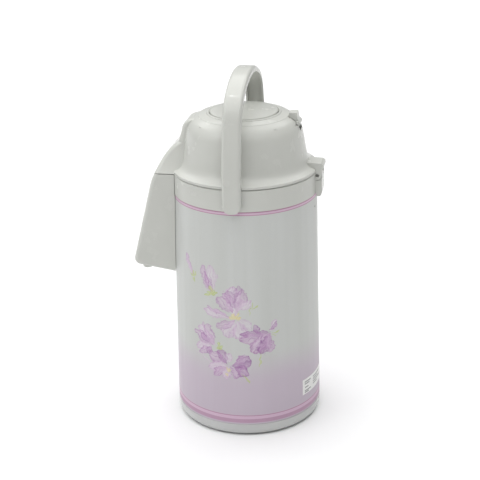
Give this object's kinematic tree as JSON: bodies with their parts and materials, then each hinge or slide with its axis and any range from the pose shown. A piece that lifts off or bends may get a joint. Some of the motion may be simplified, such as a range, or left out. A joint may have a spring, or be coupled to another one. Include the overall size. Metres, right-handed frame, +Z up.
{
  "type": "pump pot",
  "caption": "Tall round vacuum pump pot with a printed steel case, a swinging domed lid with a push button and long front spout cover, and a bail carry handle.",
  "frame": {"origin": "centre of the foot ring, on the plane it stands on", "axes": "+Z up along the body axis, the spout points along -Y, the lid hinge is at +Y, the handle turns about X"},
  "size_m": [0.17, 0.2059, 0.388],
  "materials": {
    "plastic": "glossy warm light grey",
    "plastic_base": "glossy pale grey",
    "plastic_inner": "white moulded",
    "printed_steel": "pearl paint with a printed flower spray and pink bands",
    "rubber": "soft grey",
    "bellows": "translucent white",
    "glass": "silvered double wall",
    "steel": "plated",
    "label": "blank white paper label"
  },
  "bodies": {
    "pot": {"base_ring": "plastic_base", "bottom_cover": "plastic_base", "flask_cushion": "rubber", "flask": "glass", "outer_case": "printed_steel", "rear_label": "label", "collar": "plastic", "neck_gasket": "rubber", "hinge_pin": "steel", "handle_pins": "steel", "neck_stopper": "plastic_inner", "rising_pipe": "plastic_inner"},
    "lid": {"lid_shell": "plastic", "lid_plate": "plastic_inner", "lid_screws": "steel", "pump_base": "plastic_inner", "lid_gasket": "rubber", "bellows": "bellows", "return_spring": "steel", "button_ring": "plastic", "lock_pin": "steel", "spout_cover": "plastic", "nozzle": "plastic_inner", "water_channel": "plastic_inner"},
    "button": {"button": "plastic", "push_plate": "plastic_inner"},
    "lock": {"lock_lever": "plastic"},
    "handle": {"handle": "plastic"}
  },
  "joints": [
    {"name": "lid_hinge", "type": "hinge", "parent": "pot", "child": "lid", "pos_m": [0, 0.0782, 0.2776], "axis": [-1, 0, 0], "range_deg": [0, 10]},
    {"name": "button_press", "type": "slide", "parent": "lid", "child": "button", "axis": [0, 0, -1], "range_m": [0, 0.02], "stiffness_N_per_m": 600, "springref_m": -0.004, "deforming": ["bellows", "return_spring"]},
    {"name": "lock_flip", "type": "hinge", "parent": "lid", "child": "lock", "pos_m": [0, 0.057, 0.332], "axis": [-1, 0, 0], "range_deg": [0, 20]},
    {"name": "handle_swing", "type": "hinge", "parent": "pot", "child": "handle", "pos_m": [0, 0, 0.268], "axis": [-1, 0, 0], "range_deg": [-80, 100]}
  ]
}
